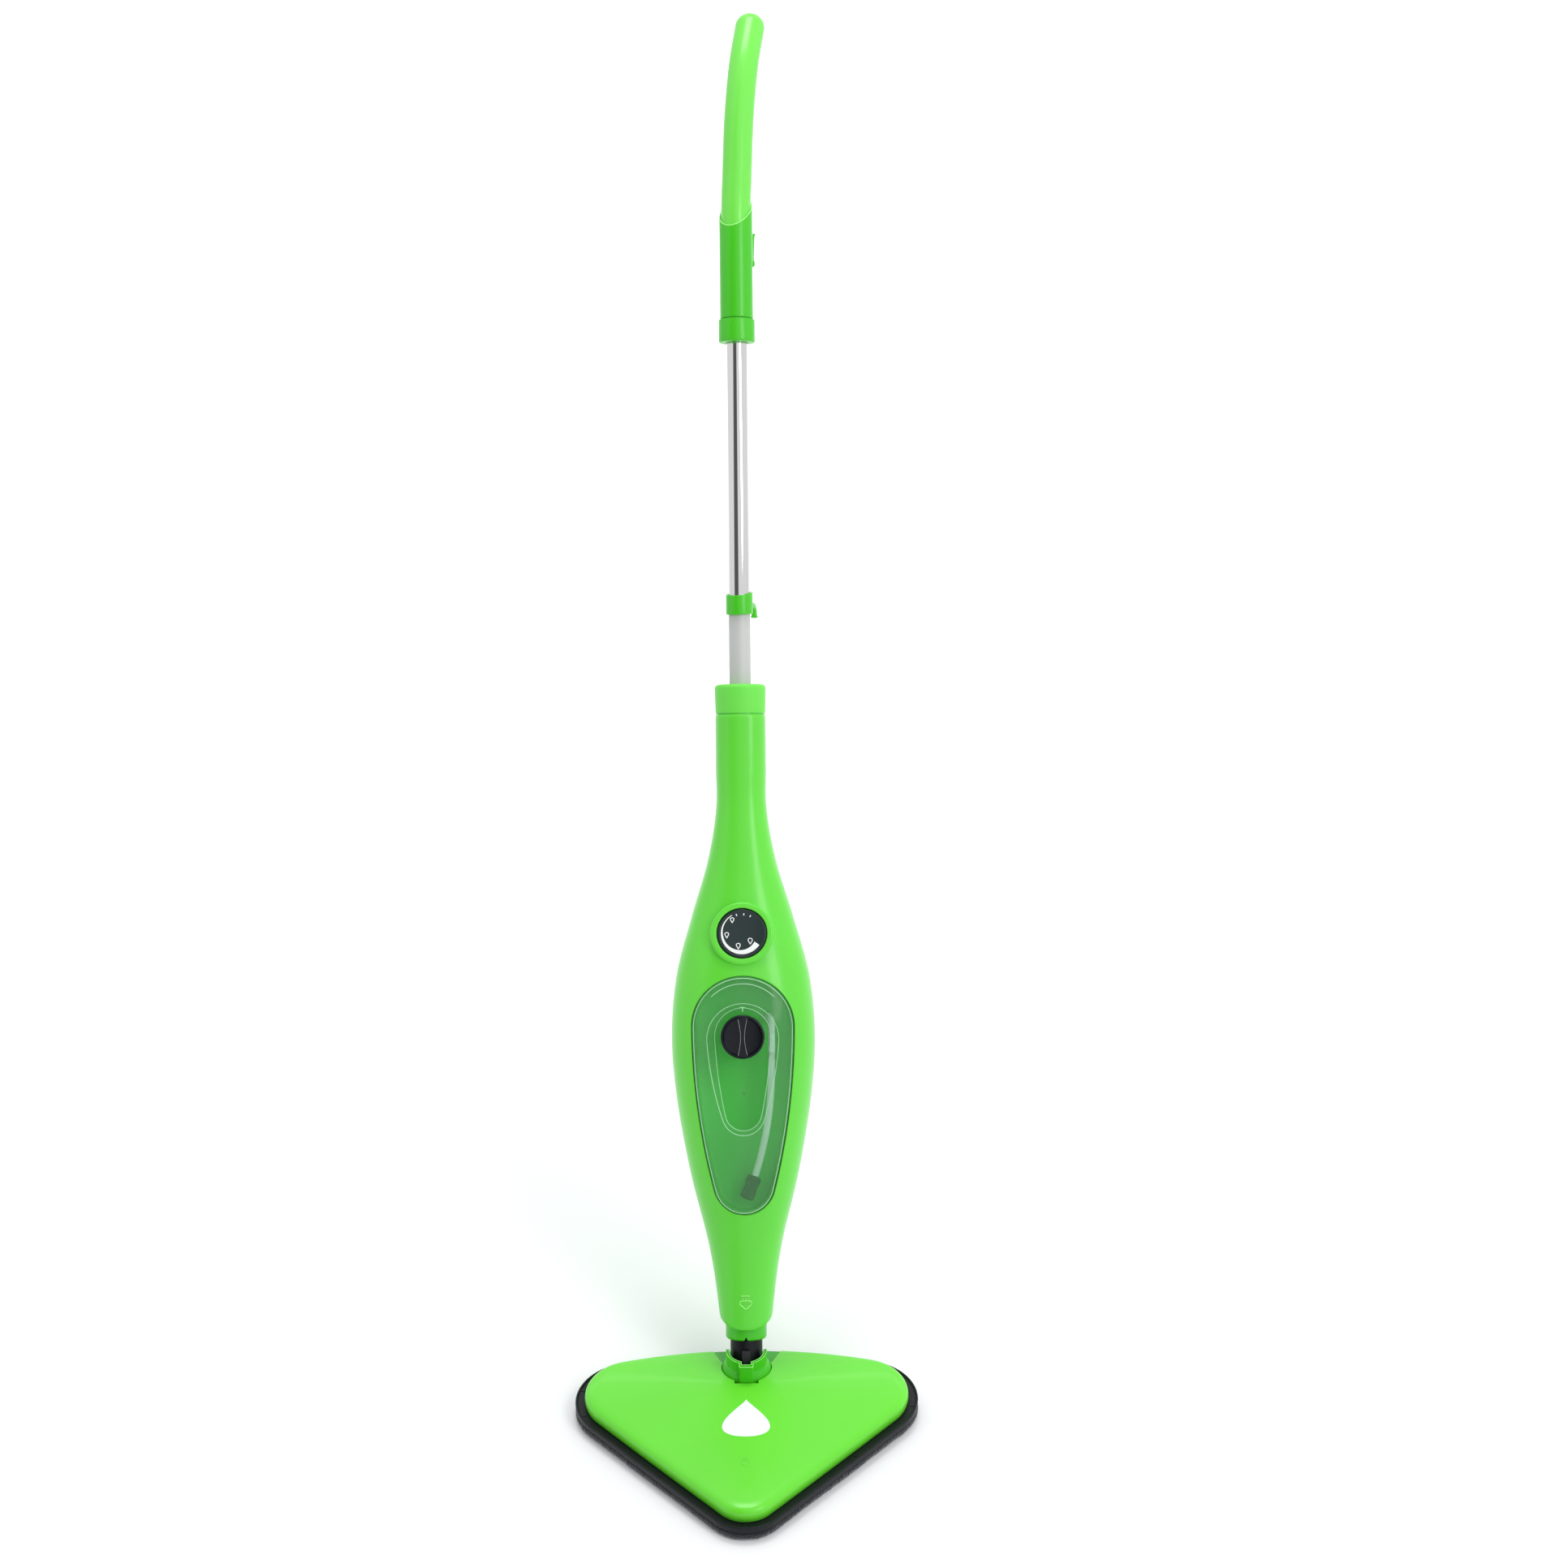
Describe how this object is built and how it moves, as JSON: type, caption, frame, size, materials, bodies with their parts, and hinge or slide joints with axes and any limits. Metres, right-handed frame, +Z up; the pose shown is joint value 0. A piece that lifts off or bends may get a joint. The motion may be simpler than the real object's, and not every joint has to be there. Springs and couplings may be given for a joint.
{
  "type": "steam mop",
  "caption": "Upright steam mop with a triangular pad head, a water tank unit with dial and cap, and a jointed pole ending in a curved handle with cord hooks.",
  "frame": {"origin": "on the floor, straight below the point where the swivel and tilt axes cross, at the back of the head", "axes": "+Z up, front (the pointed end of the head) towards -Y, +X to the right seen from the front"},
  "size_m": [0.2938, 0.7912, 1.0413],
  "materials": {
    "head_lime": "glossy lime green, moulded",
    "lime_gloss": "glossy lime green, moulded",
    "lime_matte": "satin lime green",
    "lime_deep": "deeper green, soft sheen",
    "black_plastic": "black, satin",
    "black_gloss": "black, polished",
    "pad_cloth": "charcoal looped microfibre",
    "tank_window": "green, see-through",
    "tank_green": "green, milky",
    "hose_clear": "milky, flexible",
    "rubber": "black, matte",
    "white_plastic": "off-white",
    "circuit_board": "green laminate",
    "chrome": "polished",
    "satin_steel": "pale grey, satin",
    "steel": "plain",
    "aluminium": "cast"
  },
  "bodies": {
    "head": {"head_cover": "head_lime", "base_plate": "black_plastic", "steam_diffuser": "rubber", "head_screw_1": "steel", "head_screw_2": "steel", "head_screw_3": "steel", "mop_pad": "pad_cloth", "swivel_pin": "steel"},
    "collar": {"swivel_collar": "lime_deep", "tilt_pin_left": "steel", "tilt_pin_right": "steel"},
    "unit": {"lower_pole": "satin_steel", "upper_pole": "chrome", "pole_joint_insert": "black_plastic", "handle_ring": "lime_deep", "handle_sleeve": "lime_deep", "handle_grip": "lime_gloss", "neck": "black_plastic", "neck_steam_hose": "rubber", "nozzle_seal": "rubber", "front_housing": "lime_gloss", "rear_housing": "lime_gloss", "housing_screw_1": "steel", "housing_screw_2": "steel", "housing_screw_3": "steel", "housing_screw_4": "steel", "housing_screw_5": "steel", "cord_gland": "rubber", "nozzle_collar": "lime_deep", "water_tank_front": "tank_window", "water_tank_back": "tank_green", "tank_outlet": "white_plastic", "suction_hose": "hose_clear", "suction_weight": "white_plastic", "dial_valve": "white_plastic", "control_board": "circuit_board", "boiler": "aluminium", "pump": "steel", "thermostat": "white_plastic", "thermal_fuse": "steel", "pump_inlet_hose": "hose_clear", "pump_outlet_hose": "hose_clear", "steam_pipe": "steel", "grip_end_cap": "lime_matte", "pole_socket": "white_plastic"},
    "dial": {"steam_dial": "black_gloss"},
    "cap_stopper": {"tank_cap_stopper": "black_plastic", "tank_cap_seal": "rubber"},
    "cap_knob": {"tank_cap_knob": "black_gloss"},
    "clip": {"cord_clip": "lime_deep"},
    "button": {"snap_button": "lime_deep", "snap_spring": "steel"}
  },
  "joints": [
    {"name": "head_swivel", "type": "hinge", "parent": "head", "child": "collar", "pos_m": [0, 0, 0.0255], "axis": [0, 1, 0], "range_deg": [-25, 25]},
    {"name": "neck_tilt", "type": "hinge", "parent": "collar", "child": "unit", "pos_m": [0, 0, 0.0255], "axis": [-1, 0, 0], "range_deg": [-29, 31]},
    {"name": "steam_dial_turn", "type": "hinge", "parent": "unit", "child": "dial", "pos_m": [0, 0.1804, 0.35095], "axis": [0, 0.7771, -0.6293], "range_deg": [0, 270]},
    {"name": "tank_cap_pull", "type": "slide", "parent": "unit", "child": "cap_stopper", "axis": [0, -0.8746, 0.4848], "range_m": [0, 0.028]},
    {"name": "tank_cap_turn", "type": "hinge", "parent": "cap_stopper", "child": "cap_knob", "pos_m": [0, 0.09793, 0.3053], "axis": [0, -0.8746, 0.4848], "range_deg": [0, 90]},
    {"name": "cord_clip_turn", "type": "hinge", "parent": "unit", "child": "clip", "pos_m": [0, 0.32094, 0.6045], "axis": [0, 0.4848, 0.8746], "range_deg": [-90, 90]},
    {"name": "snap_button_press", "type": "slide", "parent": "unit", "child": "button", "axis": [-0.9781, -0.1818, 0.1008], "range_m": [0, 0.003], "stiffness_N_per_m": 800, "springref_m": -0.002}
  ]
}
